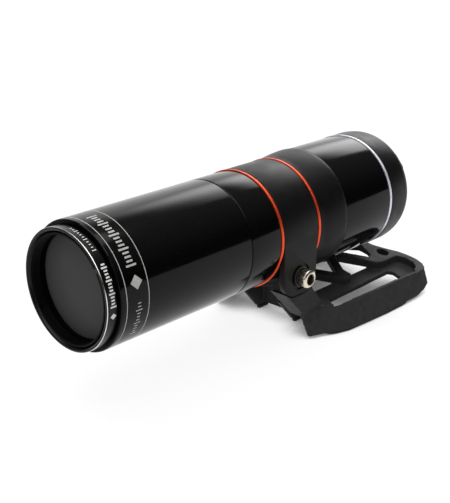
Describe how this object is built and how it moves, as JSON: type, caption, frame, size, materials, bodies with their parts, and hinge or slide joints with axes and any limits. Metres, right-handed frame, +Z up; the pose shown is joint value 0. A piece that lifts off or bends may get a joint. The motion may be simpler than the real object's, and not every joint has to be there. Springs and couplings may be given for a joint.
{
  "type": "finder scope",
  "caption": "Electronic finder scope: a sealed black tube with a camera housing behind it, held between the ears of a skeleton saddle bracket by side pivot screws.",
  "frame": {"origin": "on the surface the bracket's feet stand on, under the middle of the whole length, on the mid-plane between the two sides", "axes": "+Y runs along the tube from the objective end to the camera end, +Z is up, +X is the tilt axis, to the right when looking along +Y"},
  "size_m": [0.0804, 0.207, 0.0803],
  "materials": {
    "gloss_black": "gloss black over turned aluminium",
    "satin_black": "satin black anodised, fine grain",
    "bracket_grey": "satin dark grey anodised",
    "orange_anodised": "bright orange-red anodised",
    "silver_trim": "polished, faint lilac",
    "screw_steel": "bright turned steel",
    "washer_black": "blackened steel",
    "lens_glass": "coated optical glass",
    "filter_dark": "dark filter glass",
    "board": "solder-masked board",
    "chip": "chip package",
    "brass": "turned brass",
    "black_plastic": "moulded",
    "rubber": "matte"
  },
  "bodies": {
    "bracket": {"bracket": "bracket_grey", "rail_foot_left": "rubber", "rail_foot_right": "rubber", "rib_foot_left": "rubber", "rib_foot_right": "rubber"},
    "tube": {"clamp_ring": "satin_black", "accent_ring_front": "orange_anodised", "accent_ring_rear": "orange_anodised", "main_barrel": "gloss_black", "objective_cell": "satin_black", "objective_front_lens": "lens_glass", "objective_rear_lens": "lens_glass", "lens_retainer": "satin_black", "lens_spacer": "satin_black", "field_baffle": "satin_black", "rear_flare": "satin_black", "rear_shell": "gloss_black", "trim_ring": "silver_trim", "rear_cap": "satin_black", "sensor_carrier": "satin_black", "sensor_board": "board", "image_sensor": "chip", "main_board": "board", "standoff_1": "brass", "standoff_2": "brass", "standoff_3": "brass", "jack_hood": "satin_black", "aux_jack": "black_plastic", "usb_port": "screw_steel", "status_window": "filter_dark", "cap_screw_1": "screw_steel", "cap_screw_2": "screw_steel", "cap_screw_3": "screw_steel", "pivot_washer_right": "washer_black", "pivot_washer_left": "washer_black"},
    "screw_right": {"pivot_screw_right": "screw_steel"},
    "screw_left": {"pivot_screw_left": "screw_steel"},
    "oring": {"shield_oring": "rubber"},
    "shield": {"dew_shield": "gloss_black"},
    "filter_glass": {"filter_glass": "filter_dark"},
    "filter": {"filter_ring": "satin_black", "filter_retainer": "satin_black"}
  },
  "joints": [
    {"name": "tilt", "type": "hinge", "parent": "bracket", "child": "tube", "pos_m": [0, 0.0069, 0.0323], "axis": [1, 0, 0], "range_deg": [-1.2, 5]},
    {"name": "screw_right_turn", "type": "hinge", "parent": "bracket", "child": "screw_right", "pos_m": [0, 0.0069, 0.0323], "axis": [1, 0, 0], "range_deg": [0, 360]},
    {"name": "screw_left_turn", "type": "hinge", "parent": "bracket", "child": "screw_left", "pos_m": [0, 0.0069, 0.0323], "axis": [-1, 0, 0], "range_deg": [0, 360]},
    {"name": "shield_travel", "type": "slide", "parent": "tube", "child": "oring", "axis": [0, -1, 0], "range_m": [0, 0.00152]},
    {"name": "shield_turn", "type": "hinge", "parent": "oring", "child": "shield", "pos_m": [0, -0.0253, 0.0515], "axis": [0, -1, 0], "range_deg": [0, 540]},
    {"name": "filter_travel", "type": "slide", "parent": "shield", "child": "filter_glass", "axis": [0, -1, 0], "range_m": [0, 0.00227]},
    {"name": "filter_turn", "type": "hinge", "parent": "filter_glass", "child": "filter", "pos_m": [0, -0.0979, 0.0515], "axis": [0, -1, 0], "range_deg": [0, 1080]}
  ],
  "couplings": [
    {"joint": "shield_travel", "follows": "shield_turn", "m_per_rad": 0.00015915},
    {"joint": "filter_travel", "follows": "filter_turn", "m_per_rad": 0.00011937}
  ]
}
